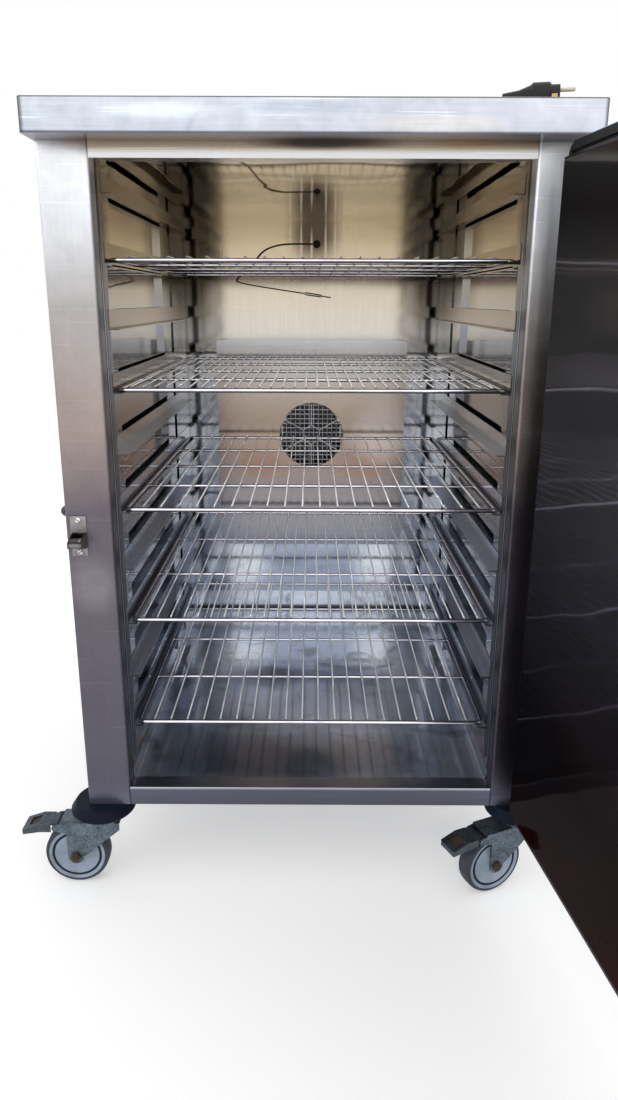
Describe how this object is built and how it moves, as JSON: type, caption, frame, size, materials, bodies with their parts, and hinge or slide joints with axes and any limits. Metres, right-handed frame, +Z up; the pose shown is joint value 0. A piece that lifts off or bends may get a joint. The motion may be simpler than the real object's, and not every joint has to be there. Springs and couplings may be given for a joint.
{
  "type": "heated holding cabinet",
  "caption": "Insulated steel heated holding cabinet on casters, with a hinged door and hook latch, sliding wire shelves on runners and a fan behind a wall baffle.",
  "frame": {"origin": "on the floor, under the middle of the object's box with the door standing open", "axes": "+X to the cabinet's right seen from its front, +Y from the front into the cabinet, +Z up"},
  "size_m": [0.9557, 1.5762, 1.1503],
  "materials": {
    "stainless": "brushed stainless sheet",
    "liner": "mill finish stainless sheet",
    "bright": "bright wire",
    "zinc": "zinc plated",
    "alloy": "satin",
    "motor": "satin paint",
    "copper": "bare tube",
    "black_plastic": "moulded",
    "key": "moulded",
    "black_bar": "powder coat",
    "bumper": "moulded",
    "wheel": "moulded hub and tread",
    "seal": "extruded",
    "wool": "mineral wool",
    "cord": "sheath"
  },
  "bodies": {
    "cabinet": {"worktop": "stainless", "posts": "stainless", "cross_rails": "stainless", "side_panels": "stainless", "rear_panel": "stainless", "base_panel": "stainless", "service_cover": "stainless", "strike": "stainless", "hinge_leaves": "stainless", "liner_sides": "liner", "liner_back": "liner", "liner_ceiling": "liner", "floor_pan": "liner", "left_runners": "liner", "right_runners": "liner", "fan_baffle": "liner", "heating_element": "liner", "fan_guard": "bright", "fan_motor": "motor", "capillary": "copper", "grommet": "seal", "thermostat": "black_plastic", "cord_gland": "black_plastic", "bumpers": "bumper", "push_handle": "black_bar", "insulation": "wool", "cord_riser": "cord", "cord_coil": "cord", "cord_lead": "cord", "cord_tie": "black_plastic", "plug": "black_plastic"},
    "door": {"door_skin": "stainless", "door_pan": "stainless", "door_core": "wool", "door_gasket": "seal", "door_hinges": "stainless", "latch_case": "stainless"},
    "latch": {"latch_handle": "bright"},
    "roller": {"strike_roller": "bright"},
    "fan_wheel": {"impeller": "alloy"},
    "thermostat_knob": {"knob": "black_plastic"},
    "switch_key": {"rocker": "key"},
    "shelf_1_body": {"shelf_1": "bright"},
    "shelf_2_body": {"shelf_2": "bright"},
    "shelf_3_body": {"shelf_3": "bright"},
    "shelf_4_body": {"shelf_4": "bright"},
    "shelf_5_body": {"shelf_5": "bright"},
    "caster_left_front": {"fork_left_front": "zinc"},
    "wheel_body_left_front": {"wheel_left_front": "wheel"},
    "brake_left_front": {"pedal_left_front": "zinc"},
    "caster_right_front": {"fork_right_front": "zinc"},
    "wheel_body_right_front": {"wheel_right_front": "wheel"},
    "brake_right_front": {"pedal_right_front": "zinc"},
    "caster_left_rear": {"fork_left_rear": "zinc"},
    "wheel_body_left_rear": {"wheel_left_rear": "wheel"},
    "caster_right_rear": {"fork_right_rear": "zinc"},
    "wheel_body_right_rear": {"wheel_right_rear": "wheel"}
  },
  "joints": [
    {"name": "door_hinge", "type": "hinge", "parent": "cabinet", "child": "door", "pos_m": [0.28615, -0.15141, 0.6085], "axis": [0, 0, 1], "range_deg": [-97.1, 22.9]},
    {"name": "latch_lever", "type": "hinge", "parent": "door", "child": "latch", "pos_m": [0.39893, -0.74301, 0.607], "axis": [-0.1236, 0.9923, 0], "range_deg": [0, 20]},
    {"name": "roller_spin", "type": "hinge", "parent": "cabinet", "child": "roller", "pos_m": [-0.35185, -0.15621, 0.567], "axis": [1, 0, 0], "continuous": true},
    {"name": "shelf_1_slide", "type": "slide", "parent": "cabinet", "child": "shelf_1_body", "axis": [0, -1, 0], "range_m": [0, 0.45]},
    {"name": "shelf_2_slide", "type": "slide", "parent": "cabinet", "child": "shelf_2_body", "axis": [0, -1, 0], "range_m": [0, 0.45]},
    {"name": "shelf_3_slide", "type": "slide", "parent": "cabinet", "child": "shelf_3_body", "axis": [0, -1, 0], "range_m": [0, 0.45]},
    {"name": "shelf_4_slide", "type": "slide", "parent": "cabinet", "child": "shelf_4_body", "axis": [0, -1, 0], "range_m": [0, 0.45]},
    {"name": "shelf_5_slide", "type": "slide", "parent": "cabinet", "child": "shelf_5_body", "axis": [0, -1, 0], "range_m": [0, 0.45]},
    {"name": "fan_spin", "type": "hinge", "parent": "cabinet", "child": "fan_wheel", "pos_m": [-0.02985, 0.63279, 0.6035], "axis": [0, 1, 0], "continuous": true},
    {"name": "knob_turn", "type": "hinge", "parent": "cabinet", "child": "thermostat_knob", "pos_m": [-0.01985, 0.76979, 1.003], "axis": [0, 1, 0], "range_deg": [0, 270]},
    {"name": "switch_tip", "type": "hinge", "parent": "cabinet", "child": "switch_key", "pos_m": [-0.09185, 0.76279, 1.003], "axis": [1, 0, 0], "range_deg": [-14, 0]},
    {"name": "swivel_left_front", "type": "hinge", "parent": "cabinet", "child": "caster_left_front", "pos_m": [-0.35185, -0.11221, 0.127], "axis": [0, 0, 1], "continuous": true},
    {"name": "roll_left_front", "type": "hinge", "parent": "caster_left_front", "child": "wheel_body_left_front", "pos_m": [-0.39685, -0.11221, 0.05], "axis": [0, -1, 0], "continuous": true},
    {"name": "brake_left_front", "type": "hinge", "parent": "caster_left_front", "child": "brake_left_front", "pos_m": [-0.42585, -0.11221, 0.101], "axis": [0, -1, 0], "range_deg": [-12, 0]},
    {"name": "swivel_right_front", "type": "hinge", "parent": "cabinet", "child": "caster_right_front", "pos_m": [0.29215, -0.11221, 0.127], "axis": [0, 0, 1], "continuous": true},
    {"name": "roll_right_front", "type": "hinge", "parent": "caster_right_front", "child": "wheel_body_right_front", "pos_m": [0.25136, -0.13123, 0.05], "axis": [0.4226, -0.9063, 0], "continuous": true},
    {"name": "brake_right_front", "type": "hinge", "parent": "caster_right_front", "child": "brake_right_front", "pos_m": [0.22508, -0.14348, 0.101], "axis": [0.4226, -0.9063, 0], "range_deg": [-12, 0]},
    {"name": "swivel_left_rear", "type": "hinge", "parent": "cabinet", "child": "caster_left_rear", "pos_m": [-0.35185, 0.68679, 0.127], "axis": [0, 0, 1], "continuous": true},
    {"name": "roll_left_rear", "type": "hinge", "parent": "caster_left_rear", "child": "wheel_body_left_rear", "pos_m": [-0.39082, 0.70929, 0.05], "axis": [-0.5, -0.866, 0], "continuous": true},
    {"name": "swivel_right_rear", "type": "hinge", "parent": "cabinet", "child": "caster_right_rear", "pos_m": [0.29215, 0.68679, 0.127], "axis": [0, 0, 1], "continuous": true},
    {"name": "roll_right_rear", "type": "hinge", "parent": "caster_right_rear", "child": "wheel_body_right_rear", "pos_m": [0.33443, 0.70218, 0.05], "axis": [-0.342, 0.9397, 0], "continuous": true}
  ]
}
